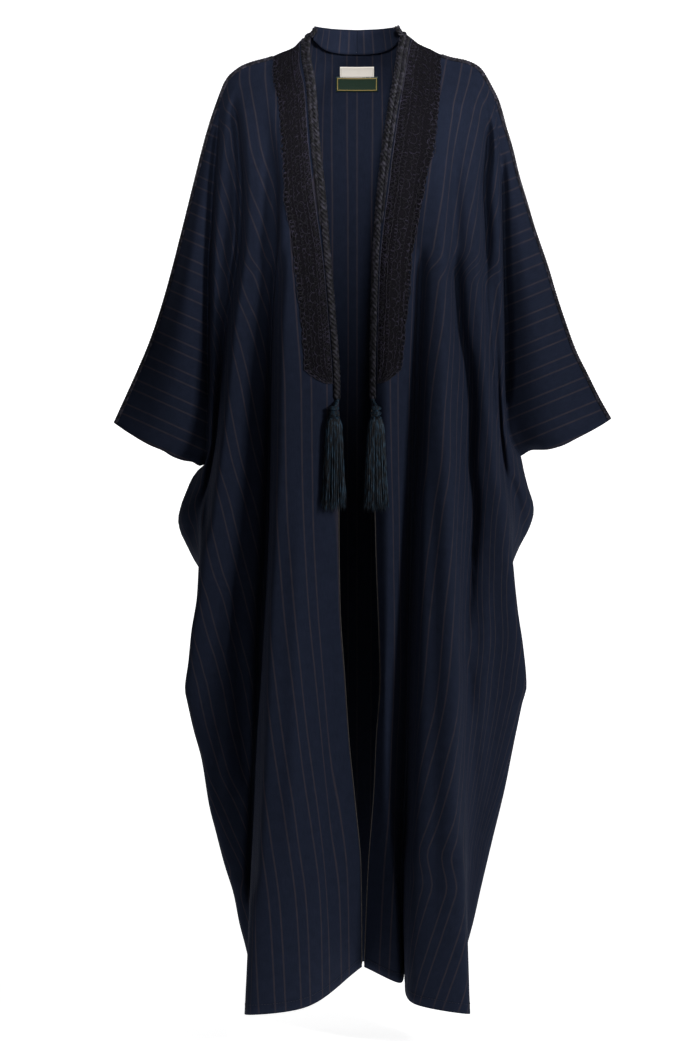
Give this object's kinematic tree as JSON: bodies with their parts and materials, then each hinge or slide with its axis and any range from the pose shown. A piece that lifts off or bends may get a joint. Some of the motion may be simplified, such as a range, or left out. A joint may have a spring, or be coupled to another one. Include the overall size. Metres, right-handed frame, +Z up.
{
  "type": "abaya",
  "caption": "Open-fronted full-length abaya in navy pinstriped twill, with embroidered front bands, braided edges, two tassels and wide sleeves, hollow as worn.",
  "frame": {"origin": "between the shoulders, where a wearer or hanger carries the garment", "axes": "+Z up, the open front faces -Y, +X towards the wearer's left sleeve"},
  "size_m": [0.775, 0.347, 1.5126],
  "materials": {
    "cloth": "matt wool-like twill with fine pinstripes",
    "braid": "twisted cord and couched thread, slight lustre",
    "tassel": "silky yarn",
    "label_pale": "plain woven label",
    "label_dark": "plain woven label"
  },
  "bodies": {
    "root": {"front_right": "cloth", "front_left": "cloth", "back": "cloth", "collar_right": "cloth", "collar_left": "cloth", "edge_braid_right": "braid", "edge_braid_left": "braid", "overarm_braid_right": "braid", "overarm_braid_left": "braid", "tassel_right": "tassel", "tassel_left": "tassel", "label_upper": "label_pale", "label_lower": "label_dark"}
  },
  "joints": []
}
